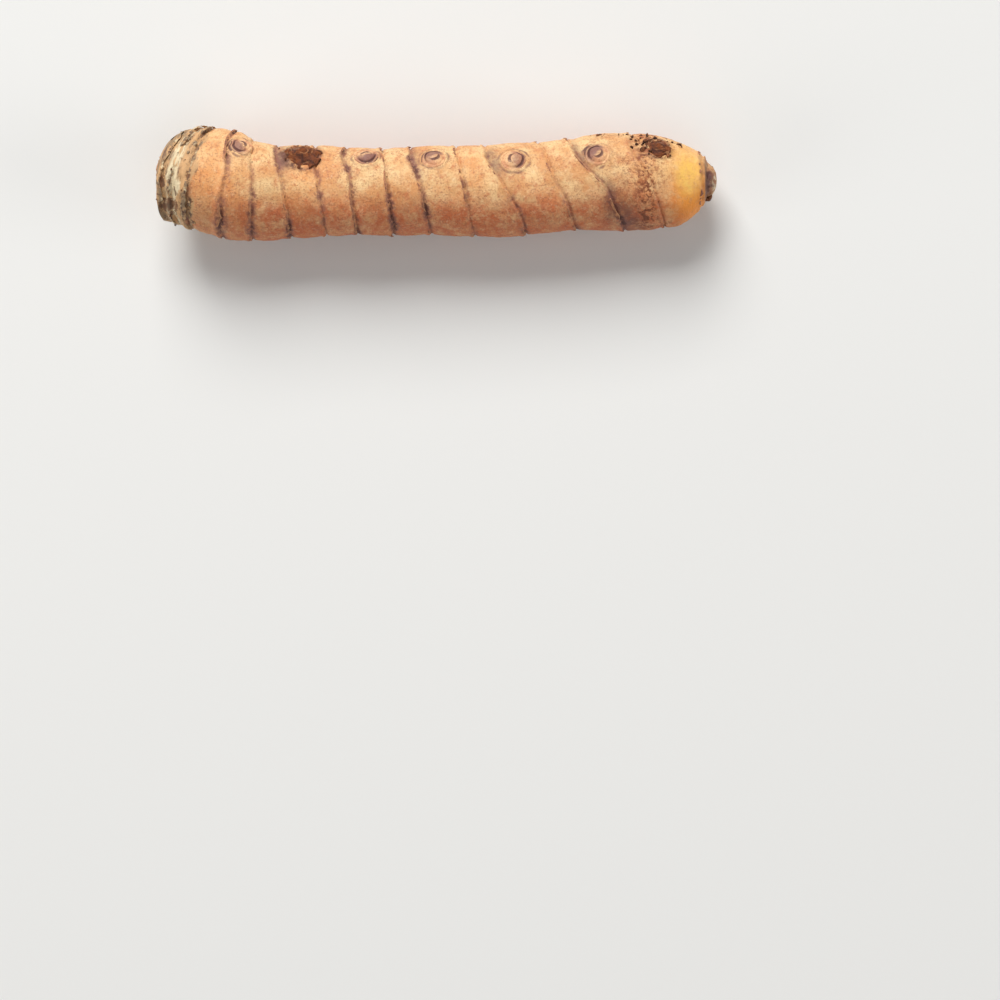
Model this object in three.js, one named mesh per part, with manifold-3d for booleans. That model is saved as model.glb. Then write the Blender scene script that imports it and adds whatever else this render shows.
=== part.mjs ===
// A fresh turmeric root: one finger of the rhizome, snapped off the mother root and laid on its side.
// It grew as one piece. Leaf-scar rings divide it into internodes, buds sit beside the rings on both
// sides of it, and the wide base keeps the corky scar where the finger was snapped off.
// Millimetres, +Z up. +X runs from the base to the growing tip. The origin is under the middle of the
// finger, on the surface that it lies on.

import * as THREE from "three";
import { mergeVertices } from "three/addons/utils/BufferGeometryUtils.js";
import Module from "manifold-3d";

const wasm = await Module();
wasm.setup();

// Driving dimensions
const BASE_X = -44.7; // where the axis starts, at the snapped base
const TIP_X = 46.1; // where it ends, at the apex
const BODY_RADIUS = 7.12; // of the middle internodes
const BASE_SWELL = { x: -35, height: 1.6, reach: 7.2 }; // the wide base
const TIP_SWELL = { x: 31, height: 0.5, reach: 9 }; // the last full internode
const BASE_ROUNDING = 4.2; // length over which the base rounds off
const TIP_ROUNDING = 12; // length over which the tip tapers
const MIDDLE_Y = -1.3; // where the axis runs in the straight middle
const BASE_BEND = { from: -28, to: -44, by: 2.9 }; // how far it bends from there towards +Y at the base
const TIP_BEND = { from: 2, to: 40, by: 1.85 }; // and at the tip
const HEIGHT_RATIO = 0.97; // how much flatter than wide the finger is
const ARCH = 0.9; // how far the middle bows up between the two swells, which the finger lies on
const REST_CUT = 0.35; // depth of the small flats under the swells

// The leaf-scar rings, from base to tip: where each crosses the axis, and how far it leans
// towards the tip on the -Y side, as a slope. They stand closer together towards the base.
const RINGS = [
  { x: -42.3, lean: -0.25 },
  { x: -40.7, lean: -0.22 },
  { x: -38.9, lean: -0.2 },
  { x: -35.6, lean: -0.2 },
  { x: -30.4, lean: 0 },
  { x: -25.2, lean: 0.15 },
  { x: -19.4, lean: 0.12 },
  { x: -14.1, lean: 0.14 },
  { x: -8.2, lean: 0.13 },
  { x: -2.8, lean: 0.25 },
  { x: 4.4, lean: 0.2 },
  { x: 11.1, lean: 0.5 },
  { x: 19.7, lean: 0.45 },
  { x: 27.6, lean: 0.7 },
  { x: 34.7, lean: 0.35 },
  { x: 43.4, lean: 0 },
];
const BASE_LEAN = -0.08; // of the snapped face itself
const BASE_DROOP = { from: -32, to: -44, slope: 0.35 }; // how the base's rings lean outwards at the top
const RIM = { x: -0.3, height: 0.24, reach: 0.42 }; // of the scar, just short of the ring
const CREASE = { x: 0.35, height: -0.26, reach: 0.42 }; // just past it
const CORK = { from: -34, to: -38, tall: 2 }; // where the base turns corky, and how much its rims grow
const INTERNODE_SWELL = 0.25; // how far an internode bulges between its rings
const FULL_INTERNODE = 5; // length from which it bulges in full
const CROWDED = 3; // rings that stand too close together for smooth skin between them

// The buds, one just past each ring from the fourth to the last but one: on the upper side and on the
// lower side in turn, but for the last, which is on the upper side again. Each has a place along the
// axis, an angle from +Y towards +Z, in degrees, and a radius.
const BUDS = [
  { x: -32.6, angle: 44, radius: 1.9 },
  { x: -27.6, angle: 222, radius: 2 },
  { x: -21.4, angle: 39, radius: 2.8 },
  { x: -16.6, angle: 222, radius: 2.1 },
  { x: -10.9, angle: 44, radius: 2.1 },
  { x: -5.5, angle: 226, radius: 2.1 },
  { x: 0.6, angle: 47, radius: 2.1 },
  { x: 7.2, angle: 229, radius: 2.2 },
  { x: 14.6, angle: 53, radius: 2.3 },
  { x: 22.6, angle: 236, radius: 2.2 },
  { x: 28.9, angle: 58, radius: 2.2 },
  { x: 37.6, angle: 47, radius: 2 },
];
const BUD_STAND = 0.34; // height of a bud of 2 mm radius, in its radii
const BUD_SHOOT = 0.22; // how much that share grows with each mm of radius, as wide buds have shot
const BUD_SINK = 1.2; // how deep a bud's foot is buried

const AROUND = 36; // sides of the body
const BUD_AROUND = 14; // sides of a bud

const hump = (x, { x: middle, height, reach }) => height * Math.exp(-(((x - middle) / reach) ** 2));
const rise = (x, from, to) => THREE.MathUtils.smoothstep((x - from) / (to - from), 0, 1);

const fullRadius = (x) => BODY_RADIUS + hump(x, BASE_SWELL) + hump(x, TIP_SWELL);

// How far the cross-section at x leans: as the rings do, in a straight line from one to the next.
function leanAt(x) {
  const marks = [{ x: BASE_X, lean: BASE_LEAN }, ...RINGS];
  const after = marks.findIndex((mark) => mark.x > x);
  if (after <= 0) return marks.at(after).lean;
  const [a, b] = [marks[after - 1], marks[after]];
  return THREE.MathUtils.mapLinear(x, a.x, b.x, a.lean, b.lean);
}

// The finger's own line: it bends towards +Y at both ends, and bows up between the two swells.
function axisAt(x) {
  const bend = ({ from, to, by }) => by * rise(x, from, to);
  const y = MIDDLE_Y + bend(BASE_BEND) + bend(TIP_BEND);
  const restHeight = (swell) => HEIGHT_RATIO * fullRadius(swell.x) - REST_CUT;
  const along = THREE.MathUtils.clamp((x - BASE_SWELL.x) / (TIP_SWELL.x - BASE_SWELL.x), 0, 1);
  const z = THREE.MathUtils.lerp(restHeight(BASE_SWELL), restHeight(TIP_SWELL), along);
  return { y, z: z + ARCH * Math.sin(Math.PI * along) };
}

// The radius with its ends rounded: a blunt base and a longer, elliptical tip.
function girth(x) {
  const fromBase = THREE.MathUtils.clamp((x - BASE_X) / BASE_ROUNDING, 0, 1);
  const fromTip = THREE.MathUtils.clamp((TIP_X - x) / TIP_ROUNDING, 0, 1);
  const base = Math.sqrt(1 - (1 - fromBase) ** 4);
  const tip = Math.sqrt(1 - (1 - fromTip) ** 2);
  return fullRadius(x) * base * tip;
}

// How far the skin stands out at x: the rim and crease of each ring, and the bulge between rings.
function relief(x) {
  let out = 0;
  for (const ring of RINGS) {
    const tall = THREE.MathUtils.lerp(1, CORK.tall, rise(ring.x, CORK.from, CORK.to));
    out += tall * hump(x - ring.x, RIM) + hump(x - ring.x, CREASE);
  }
  const after = RINGS.findIndex((ring) => ring.x > x);
  if (after > 0) {
    const [a, b] = [RINGS[after - 1].x, RINGS[after].x];
    const full = Math.min(1, (b - a) / FULL_INTERNODE);
    out += INTERNODE_SWELL * full * Math.sin((Math.PI * (x - a)) / (b - a));
  }
  return out;
}

// Slow unevenness, so that the finger isn't a turned rod: two waves round it that turn along its
// length, and that fade out where the ends narrow.
function unevenness(x, angle) {
  const lumps = 0.16 * Math.sin(2 * angle + 0.21 * x) + 0.12 * Math.sin(3 * angle - 0.37 * x + 1.3);
  return lumps * rise(girth(x), 2, 6);
}

// Places a point of the turned profile: each cross-section is a plane that leans as its rings do.
function settle(x, across, up) {
  const axis = axisAt(x);
  const droop = BASE_DROOP.slope * rise(x, BASE_DROOP.from, BASE_DROOP.to);
  const height = HEIGHT_RATIO * up;
  return new THREE.Vector3(
    x - leanAt(x) * across - droop * height,
    axis.y + across,
    axis.z + height,
  );
}

// The profile from base to tip. The snapped base is a shallow dish with a rim, and the apex a small cap.
function profile() {
  const points = [
    [0, BASE_X + 0.6],
    [2.2, BASE_X + 0.5],
    [3.3, BASE_X + 0.15],
    [3.9, BASE_X],
  ];
  const ringSteps = [-1, RIM.x, CREASE.x, 1]; // foot of the rim, crest, crease, and the skin again
  const baseSteps = [-0.35, 0.35]; // the crowded rings have a crest and a crease only
  const stations = [BASE_X + 0.3, BASE_X + 0.8, BASE_X + 1.5];
  RINGS.forEach((ring, i) => {
    const crowded = i < CROWDED;
    for (const step of crowded ? baseSteps : ringSteps) stations.push(ring.x + step);
    const next = RINGS[i + 1];
    if (!next || crowded) return;
    const gaps = Math.max(2, Math.round((next.x - ring.x - 2) / 1.5));
    for (let k = 1; k < gaps; k++) {
      stations.push(THREE.MathUtils.lerp(ring.x + 1, next.x - 1, k / gaps));
    }
  });
  for (const x of stations) {
    if (x > RINGS.at(-1).x + 0.5) continue;
    points.push([girth(x) + relief(x), x]);
  }
  points.push([2.75, TIP_X - 1.5], [2.35, TIP_X - 0.7], [1.3, TIP_X - 0.15], [0, TIP_X]);
  return points.map(([radius, x]) => new THREE.Vector2(radius, x));
}

// A closed geometry as a solid that can be joined and cut.
function solidOf(geometry) {
  geometry.deleteAttribute("normal");
  geometry.deleteAttribute("uv");
  const merged = mergeVertices(geometry, 1e-4);
  return new wasm.Manifold(
    new wasm.Mesh({
      numProp: 3,
      vertProperties: merged.attributes.position.array,
      triVerts: new Uint32Array(merged.index.array),
    }),
  );
}

function geometryOf(solid) {
  const mesh = solid.getMesh();
  const geometry = new THREE.BufferGeometry();
  geometry.setAttribute("position", new THREE.BufferAttribute(mesh.vertProperties, mesh.numProp));
  geometry.setIndex(new THREE.BufferAttribute(mesh.triVerts, 1));
  return geometry.toNonIndexed();
}

// The body: the profile turned about its line, then every vertex settled in its leaning section.
function body() {
  const turned = new THREE.LatheGeometry(profile(), AROUND);
  const place = turned.attributes.position;
  for (let i = 0; i < place.count; i++) {
    const [up, x, across] = [place.getX(i), place.getY(i), place.getZ(i)];
    const angle = Math.atan2(up, across);
    const radius = Math.hypot(up, across);
    const grown = radius > 0 ? (radius + unevenness(x, angle)) / radius : 1;
    place.setXYZ(i, ...settle(x, across * grown, up * grown));
  }
  return solidOf(turned);
}

// One bud: a low button with an outer scale, a crease inside it and a blunt nub in the middle.
function bud({ x, angle, radius: r }) {
  const side = THREE.MathUtils.degToRad(angle);
  const stand = r * (BUD_STAND + BUD_SHOOT * (r - 2));
  const outline = [
    [0, -BUD_SINK],
    [r, -BUD_SINK],
    [1.18 * r, -0.3 * r],
    [1.02 * r, -0.08 * r],
    [0.82 * r, 0.06 * r],
    [0.6 * r, 0.04 * r],
    [0.49 * r, 0.7 * stand],
    [0.26 * r, 0.95 * stand],
    [0, stand],
  ].map(([radius, height]) => new THREE.Vector2(radius, height));
  const button = new THREE.LatheGeometry(outline, BUD_AROUND);

  const radius = girth(x) + relief(x) + unevenness(x, side);
  const at = (dx, turn) =>
    settle(x + dx, radius * Math.cos(side + turn), radius * Math.sin(side + turn));
  const middle = at(0, 0);
  const alongX = at(0.5, 0).sub(at(-0.5, 0));
  const round = at(0, 0.05).sub(at(0, -0.05));
  const outward = new THREE.Vector3().crossVectors(round, alongX).normalize();
  const turn = new THREE.Quaternion().setFromUnitVectors(new THREE.Vector3(0, 1, 0), outward);
  button.applyMatrix4(new THREE.Matrix4().compose(middle, turn, new THREE.Vector3(1, 1, 1)));
  return solidOf(button);
}

// What lies under the surface is pressed flat: small flats under the base and under the last internodes.
function surface() {
  const slab = new THREE.BoxGeometry(120, 60, 20);
  slab.translate(0, 0, -10);
  return solidOf(slab);
}

let finger = body();
for (const place of BUDS) finger = finger.add(bud(place));
finger = finger.subtract(surface());

const skin = new THREE.MeshStandardMaterial({ color: 0xd9a06c, roughness: 0.62, metalness: 0 });
const rhizome = new THREE.Mesh(geometryOf(finger), skin);
rhizome.name = "rhizome";

const group = new THREE.Group();
group.add(rhizome);
export default group;
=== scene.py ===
import bpy
import numpy as np
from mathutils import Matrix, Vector


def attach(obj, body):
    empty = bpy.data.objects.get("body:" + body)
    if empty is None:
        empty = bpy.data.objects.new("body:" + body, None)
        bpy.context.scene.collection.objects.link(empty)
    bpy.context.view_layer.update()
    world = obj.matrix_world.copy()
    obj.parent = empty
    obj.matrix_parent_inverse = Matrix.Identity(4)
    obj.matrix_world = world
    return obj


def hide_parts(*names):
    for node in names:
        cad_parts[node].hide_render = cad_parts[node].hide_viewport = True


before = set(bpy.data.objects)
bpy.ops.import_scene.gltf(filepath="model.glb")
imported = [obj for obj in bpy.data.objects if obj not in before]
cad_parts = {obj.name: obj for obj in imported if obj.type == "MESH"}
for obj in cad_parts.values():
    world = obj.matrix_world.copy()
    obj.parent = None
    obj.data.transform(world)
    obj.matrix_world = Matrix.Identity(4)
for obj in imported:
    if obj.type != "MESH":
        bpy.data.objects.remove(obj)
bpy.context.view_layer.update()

# The rhizome
# An underground stem that grew one internode after another: thin cork over firm orange flesh. It was
# snapped off its mother root at the base, and a small cap closes its tip. It is one closed skin with
# the solid's own form, worked out in millimetres along the same axes.
MM = 0.001

# Its line and girth: a wide base, an even middle and a rounded tip.
BASE_X, TIP_X = -44.7, 46.1
BODY_RADIUS = 7.12
BASE_SWELL = (-35, 1.6, 7.2)  # middle, height and reach of the wide base
TIP_SWELL = (31, 0.5, 9)  # and of the last full internode
BASE_ROUNDING, TIP_ROUNDING = 4.2, 12  # the lengths over which the ends round off
HEIGHT_RATIO = 0.97  # of a cross-section's height to its width
MIDDLE_Y = -1.3
BASE_BEND = (2.9, -28, -44)  # how far the base bends to +Y, and where the bend starts and ends
TIP_BEND = (1.85, 2, 40)  # and the tip
ARCH = 0.9  # how far the middle bows up between the two swells, which the finger lies on
REST_CUT = 0.35  # how much of each swell is pressed flat
RING_X = np.array([-42.3, -40.7, -38.9, -35.6, -30.4, -25.2, -19.4, -14.1,
                   -8.2, -2.8, 4.4, 11.1, 19.7, 27.6, 34.7, 43.4])
RING_LEAN = np.array([-0.25, -0.22, -0.2, -0.2, 0, 0.15, 0.12, 0.14,
                      0.13, 0.25, 0.2, 0.5, 0.45, 0.7, 0.35, 0])
BASE_LEAN = -0.08
BASE_DROOP = (0.35, -32, -44)  # how far the base's top tips outwards, and where that starts and ends


def smooth(x, start, end):
    """0 before start, 1 past end, and the cubic 3t2 - 2t3 between them."""
    t = np.clip((x - start) / (end - start), 0, 1)
    return t * t * (3 - 2 * t)


def rise(x, height, start, end):
    """The smooth cubic from 0 before start to height past end."""
    return height * smooth(x, start, end)


def hump(x, middle, height, reach):
    """A bell: height times e to the minus square of the distance from middle over reach."""
    return height * np.exp(-(((x - middle) / reach) ** 2))


def full_radius(x):
    """The body's radius plus the bells of its two swells."""
    return BODY_RADIUS + hump(x, *BASE_SWELL) + hump(x, *TIP_SWELL)


def girth(x):
    """The full radius rounded off at both ends: a blunt quartic base and an elliptical tip."""
    from_base = np.clip((x - BASE_X) / BASE_ROUNDING, 0, 1)
    from_tip = np.clip((TIP_X - x) / TIP_ROUNDING, 0, 1)
    return full_radius(x) * np.sqrt(1 - (1 - from_base) ** 4) * np.sqrt(1 - (1 - from_tip) ** 2)


def axis_at(x):
    """The middle of the cross-section at x: it bends to +Y at both ends, and bows up between the two
    swells in half a sine wave."""
    y = MIDDLE_Y + rise(x, *BASE_BEND) + rise(x, *TIP_BEND)
    ends = np.array([BASE_SWELL[0], TIP_SWELL[0]])
    rest = HEIGHT_RATIO * full_radius(ends) - REST_CUT
    along = np.clip((x - ends[0]) / (ends[1] - ends[0]), 0, 1)
    return y, rest[0] + (rest[1] - rest[0]) * along + ARCH * np.sin(np.pi * along)


def settle(x, radius, angle):
    """Places a point by its place on the axis, its radius and its angle from +Y towards +Z. The
    cross-section leans as the rings do, by lean times the place across it, and the base's top tips
    outwards."""
    across = radius * np.cos(angle)
    up = HEIGHT_RATIO * radius * np.sin(angle)
    lean = np.interp(x, [BASE_X, *RING_X], [BASE_LEAN, *RING_LEAN])
    y, z = axis_at(x)
    return np.stack([x - lean * across - rise(x, *BASE_DROOP) * up, y + across, z + up], axis=-1)


def noise(points, size, seed):
    """Value noise, -1 to 1: a number hashed from each corner of a lattice of cubes of the given size,
    blended between the eight corners by the cubic 3t2 - 2t3."""
    place = points / size + seed * 19.19
    cell = np.floor(place).astype(np.int64)
    part = place - cell
    part = part * part * (3 - 2 * part)
    total = np.zeros(points.shape[:-1])
    for corner in np.ndindex(2, 2, 2):
        x, y, z = np.moveaxis(cell + corner, -1, 0)
        mixed = (x * 73856093) ^ (y * 19349663) ^ (z * 83492791)
        mixed = ((mixed ^ (mixed >> 13)) * 1274126177) & 0x7FFFFFFF
        mixed = ((mixed ^ (mixed >> 15)) * 668265263) & 0x7FFFFFFF
        weight = np.prod(np.where(corner, part, 1 - part), axis=-1)
        total += weight * (mixed / 0x3FFFFFFF - 1)
    return total


def round_noise(x, angle, along, around, seed):
    """Noise on a cylinder: lumps `along` mm long on the axis and `around` mm wide about it."""
    radius = BODY_RADIUS / around
    return noise(np.stack(np.broadcast_arrays(x / along, radius * np.cos(angle), radius * np.sin(angle)),
                          axis=-1), 1.0, seed)


def unevenness(x, angle):
    """Two slow waves round the body that turn along it, fading out where the ends narrow."""
    waves = 0.16 * np.sin(2 * angle + 0.21 * x) + 0.12 * np.sin(3 * angle - 0.37 * x + 1.3)
    return waves * smooth(girth(x), 2, 6)


# Its buds' places: one past each ring of the body, on the upper and the lower side in turn. Each sits
# on a cushion of skin, in a hollow, with a crease round it.
BUD_X = np.array([-32.6, -27.6, -21.4, -16.6, -10.9, -5.5, 0.6, 7.2, 14.6, 22.6, 28.9, 37.6])
BUD_ANGLE = np.radians([44, 222, 39, 222, 44, 226, 47, 229, 53, 236, 58, 47])
BUD_RADIUS = np.array([1.9, 2, 2.8, 2.1, 2.1, 2.1, 2.1, 2.2, 2.3, 2.2, 2.2, 2])
BUD_AGE = np.array([0.15, 0.3, 1, 0.3, 0, 0.2, 0, 0.3, 0.1, 0.2, 0, 1])  # 0 plump and pale, 1 brown rags
BUD_LIFT = 0.2  # how far its middle stands off the plain body
BUD_PLACE = settle(BUD_X, girth(BUD_X) + unevenness(BUD_X, BUD_ANGLE) + BUD_LIFT, BUD_ANGLE)
BUD_CUSHION = (0.13, 1.5, 0.9)  # height, and the distances where it starts and is full, in bud radii
BUD_HOLLOW = (0.14, 0.98, 0.8)  # depth, and the same
BUD_CREASE, BUD_CREASE_REACH = 1.12, 0.13  # place and reach, in bud radii


def nearest_bud(points):
    """Distance to the nearest bud's middle, in that bud's radii, and which bud it is."""
    far = np.linalg.norm(points[..., None, :] - BUD_PLACE, axis=-1) / BUD_RADIUS
    which = np.argmin(far, axis=-1)
    return np.take_along_axis(far, which[..., None], axis=-1)[..., 0], which


# Its leaf-scar rings: where a scale leaf sat round the finger it left a low rim with a crease past it.
# The rings wander a little, dip under the bud that follows them, and are flakier on the corky base.
BUD_RING = np.searchsorted(RING_X, BUD_X) - 1
BUD_DIP = (0.8, 0.36)  # how far a ring dips under its bud, and the dip's reach in radians
RING_SHIFT = {3: 1.2, 13: -1.7}  # two rings stand off their even places
KINKED_RING, KINK = 13, (np.radians(94), 0.9, 0.42)  # and one leaps tipwards: angle, leap and reach
RIM = (-0.32, 0.24, 0.36)  # place past the ring's line, height and reach of the rim
RIM_CREASE = (0.14, 0.34, 0.2)
BULGE, BULGE_LENGTH = 0.25, 5  # of an internode, and the length from which the bulge is full


def turned(angle, side):
    """How far an angle is turned from a side, -pi to pi."""
    return np.angle(np.exp(1j * (angle - side)))


def ring_line(ring, angle):
    """Where a ring runs at an angle: its own place, a slow and a quick wander, and a dip under its bud."""
    line = RING_X[ring] + RING_SHIFT.get(ring, 0) + 0.3 * round_noise(0.0, angle, 1, 3.0, ring + 1)
    line = line + 0.1 * round_noise(0.0, angle, 1, 0.8, ring + 31)
    for bud in np.flatnonzero(BUD_RING == ring):
        line = line - hump(turned(angle, BUD_ANGLE[bud]), 0, *BUD_DIP)
    if ring == KINKED_RING:
        line = line + hump(angle, *KINK)
    return line


def ring_distances(x, angle):
    """Signed distance along the axis from every ring's line, on a new first axis."""
    return np.stack([x - ring_line(ring, angle) for ring in range(len(RING_X))])


def relief(x, angle, distance):
    """Each ring's rim and crease, as bells, with rims twice as high on the base, and the half sine wave
    of the internode's bulge after it."""
    flaky = (1 + smooth(RING_X, -34, -38)).reshape(-1, *[1] * np.ndim(x))
    strength = 0.75 + 0.35 * round_noise(x, angle, 3, 2.2, 5)
    rims = flaky * hump(distance, *RIM) - hump(distance, *RIM_CREASE)
    before = np.clip(np.searchsorted(RING_X, x) - 1, 0, len(RING_X) - 2)
    length = RING_X[before + 1] - RING_X[before]
    part = np.clip((x - RING_X[before]) / length, 0, 1)
    bulge = BULGE * np.sin(np.pi * part) * np.minimum(1, length / BULGE_LENGTH)
    return strength * rims.sum(axis=0) + bulge


def skin_radius(x, angle, distance=None):
    """The skin's radius: girth, unevenness, the rings' relief, soft lumps, and the cushion, the hollow
    and the crease of the nearest bud."""
    if distance is None:
        distance = ring_distances(x, angle)
    radius = girth(x) + unevenness(x, angle) + relief(x, angle, distance)
    radius = radius + 0.1 * round_noise(x, angle, 3.5, 3, 7) * smooth(girth(x), 2, 5)
    far, which = nearest_bud(settle(x, radius, angle))
    crease = 0.1 + 0.12 * round_noise(x, angle, 2, 2, 6)
    cushion = BUD_RADIUS[which] * (rise(far, *BUD_CUSHION) - rise(far, *BUD_HOLLOW))
    return radius + cushion - crease * hump(far, BUD_CREASE, 1, BUD_CREASE_REACH)


def smoothed_mesh(name, points, faces, turned_over=False):
    """A mesh piece from points in millimetres and lists of equally long faces, shaded smooth."""
    if turned_over:
        faces = [f[:, ::-1] for f in faces]
    mesh = bpy.data.meshes.new(name)
    mesh.vertices.add(len(points))
    mesh.vertices.foreach_set("co", (points * MM).astype(np.float32).ravel())
    corners = np.concatenate([f.ravel() for f in faces])
    lengths = np.concatenate([np.full(len(f), f.shape[1]) for f in faces])
    mesh.loops.add(len(corners))
    mesh.loops.foreach_set("vertex_index", corners.astype(np.int32))
    mesh.polygons.add(len(lengths))
    mesh.polygons.foreach_set("loop_start", (np.cumsum(lengths) - lengths).astype(np.int32))
    mesh.update(calc_edges=True)
    mesh.validate()
    mesh.shade_smooth()
    piece = bpy.data.objects.new(name, mesh)
    bpy.context.scene.collection.objects.link(piece)
    return piece


def grid_faces(rows, columns, start=0, loop_rows=False):
    """Quads of a grid whose columns close round, and whose rows do too when loop_rows is true."""
    row = np.arange(rows if loop_rows else rows - 1)[:, None]
    column = np.arange(columns)[None, :]
    after, beside = (row + 1) % rows, (column + 1) % columns
    quads = np.stack([row * columns + column, row * columns + beside,
                      after * columns + beside, after * columns + column], axis=-1)
    return quads.reshape(-1, 4) + start


def fan_faces(rows, columns, start=0):
    """Triangles that close a grid's first and last rows on the two poles that follow its points."""
    column = np.arange(columns)
    beside = (column + 1) % columns
    last = (rows - 1) * columns
    pole = np.full(columns, rows * columns)
    first_fan = np.stack([beside, column, pole], axis=-1)
    last_fan = np.stack([last + column, last + beside, pole + 1], axis=-1)
    return np.concatenate([first_fan, last_fan]) + start


def closed_faces(rows, columns, count=1):
    """The faces of `count` closed forms that follow each other, each a grid of points and two poles."""
    starts = (rows * columns + 2) * np.arange(count)
    return [make(rows, columns, start) for start in starts for make in (grid_faces, fan_faces)]


def paint_points(piece, **masks):
    """Stores one number for each point of a mesh under each name, for its material to read."""
    for name, values in masks.items():
        layer = piece.data.attributes.new(name, "FLOAT", "POINT")
        layer.data.foreach_set("value", np.asarray(values, dtype=np.float32).ravel())


# The mesh of its skin: the rows are the leaning cross-sections, from the snapped face to the cap of
# the tip, and the columns are the angles round them.
COLUMNS = 200
END_ROWS = 20  # on the snapped face, and on the cap
CLOSE_FROM, CLOSE_TO, CLOSE_ROWS = 0.27, 1.2, 9  # rows round the face's edge, from the base's end
EVEN_FROM, ROW_STEP = 1.4, 0.2  # rows along the body
CAP_X = 44.05  # where the skin of the body ends and the cap begins
FACE_PROFILE = ([0.15, 1.2, 2.2, 3.0, 3.3, 3.6, 3.9],  # radii of the snapped face, a shallow dish,
                [0.6, 0.55, 0.5, 0.3, 0.15, 0.04, 0])  # and how far each lies inside the base's end
CAP_PROFILE = ([3.75, 3.2, 2.9, 2.65, 2.3, 1.3, 0.1],  # radii of the cap
               [1.95, 1.75, 1.5, 1.1, 0.65, 0.15, 0])  # and how far each lies inside the tip's end

face_radii = np.linspace(0.1, FACE_PROFILE[0][-1], END_ROWS)
cap_steps = np.linspace(0, 1, END_ROWS)
cap_stops = np.linspace(0, 1, len(CAP_PROFILE[0]))
body_x = np.concatenate([
    np.linspace(BASE_X + CLOSE_FROM, BASE_X + CLOSE_TO, CLOSE_ROWS),
    np.arange(BASE_X + EVEN_FROM, CAP_X, ROW_STEP),
])
row_x = np.concatenate([
    BASE_X + np.interp(face_radii, *FACE_PROFILE),
    body_x,
    TIP_X - np.interp(cap_steps, cap_stops, CAP_PROFILE[1]),
])[:, None]
plain_radius = np.concatenate([
    face_radii,
    girth(body_x),
    np.interp(cap_steps, cap_stops, CAP_PROFILE[0]),
])[:, None]
on_body = np.zeros_like(row_x)
on_body[len(face_radii):len(face_radii) + len(body_x)] = 1
x, angle = np.broadcast_arrays(row_x, np.linspace(0, 2 * np.pi, COLUMNS, endpoint=False)[None, :])
distance = ring_distances(x, angle)
crumpled = 0.05 * round_noise(x, angle, 1, 3, 9) + 0.07 * round_noise(x, angle, 0.5, 1.1, 10)
radius = np.where(on_body > 0, skin_radius(x, angle, distance), plain_radius * (1 + crumpled))
at = settle(x, radius, angle)


def patch(at, x, y, x_reach, y_reach):
    """A bell on the upper side, round the place x along the finger and y across it, with a reach each way."""
    far = ((at[..., 0] - x) / x_reach) ** 2 + ((at[..., 1] - y) / y_reach) ** 2
    return np.exp(-far) * smooth(at[..., 2], 4, 8)


# Fine relief, as noises of a height, a size and a seed: cork grain everywhere, torn layers on the base,
# a scraped hollow and a band of pits near the tip, and fibres that stand out of the snapped face.
SCRAPED_PATCH = (41.2, 1.0, 2.3, 3.7)
PIT_BAND_X, PIT_BAND_REACH = 34.2, 1.8
edge_of_cork = x + 1.3 * round_noise(x, angle, 2.5, 2.5, 11) + 0.6 * round_noise(x, angle, 0.8, 1.5, 18)
cork = np.maximum(smooth(edge_of_cork, -37.6, -39.6), 1 - on_body)
face = np.zeros_like(x)
face[:len(face_radii) + 1] = 1
fine = 0.03 * noise(at, 0.5, 3) + 0.06 * noise(at, 1.4, 4) + 0.025 * round_noise(x, angle, 0.3, 3, 8)
layers = round_noise(x, angle, 0.5, 4.5, 12) + 0.6 * round_noise(x, angle, 0.3, 1.6, 13)
fine = fine + cork * (1 - face) * 0.13 * np.tanh(3 * layers)
scraped = patch(at, *SCRAPED_PATCH)
fine = fine * (1 - 0.7 * scraped) - 0.06 * scraped
pit_band = np.exp(-(((at[..., 0] - PIT_BAND_X) / PIT_BAND_REACH) ** 4)) * smooth(at[..., 2], 6, 9)
pitted = smooth(x, 27, 33) * smooth(x, 43, 40) * smooth(noise(at, 3.2, 22), -0.5, 0.2)
pitted = np.maximum(0.55 * pitted, pit_band)
pits = smooth(noise(at, 0.55, 21), 0.3, 0.6) * pitted
fine = fine - 0.12 * pits
bundles = smooth(noise(at, 0.34, 15), 0.2, 0.6)
at = settle(x, radius + fine, angle)
at[..., 0] = at[..., 0] - face * (0.2 * bundles + 0.22 * noise(at, 0.9, 16) + 0.15 * noise(at, 2.2, 14))
at[..., 2] = np.maximum(at[..., 2], 0)
poles = np.array([at[0].mean(axis=0), at[-1].mean(axis=0)])
skin = smoothed_mesh("rhizome_skin", np.concatenate([at.reshape(-1, 3), poles]),
                     closed_faces(len(at), COLUMNS))

# How dark each ring is stained: beside the upper buds, on top, on the other side and underneath.
STAIN_ANGLES = np.radians([45, 95, 155, 270])
STAIN_PAST = 0.18  # how far past the ring's line it is darkest
RING_STAIN = [
    (0.8, 0.5, 0.9, 0.6), (0.5, 0.3, 0.6, 0.5), (0.7, 0.5, 0.8, 0.5), (1.1, 0.35, 0.9, 0.6),
    (0.1, 0.7, 0.8, 0.5), (0.8, 0.35, 0.9, 0.6), (0.3, 0.7, 0.5, 0.6), (0.9, 0.75, 1.0, 0.6),
    (0.15, 0.7, 0.95, 0.7), (0.8, 0.7, 0.8, 0.5), (0.2, 0.55, 0.4, 0.5), (0.15, 0.4, 0.8, 0.6),
    (0.1, 0.45, 0.6, 0.5), (0.2, 0.55, 1.0, 0.7), (0.3, 0.3, 0.35, 0.5), (0.4, 0.9, 0.4, 0.6),
]
patchy = 0.5 + 0.5 * round_noise(x, angle, 3, 1.5, 41)
stain = np.zeros_like(x)
for ring, strengths in enumerate(RING_STAIN):
    strength = np.interp(angle, STAIN_ANGLES, strengths, period=2 * np.pi)
    stain += strength * np.exp(-((distance[ring] - STAIN_PAST) / (0.4 + 0.5 * patchy)) ** 2)

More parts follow.
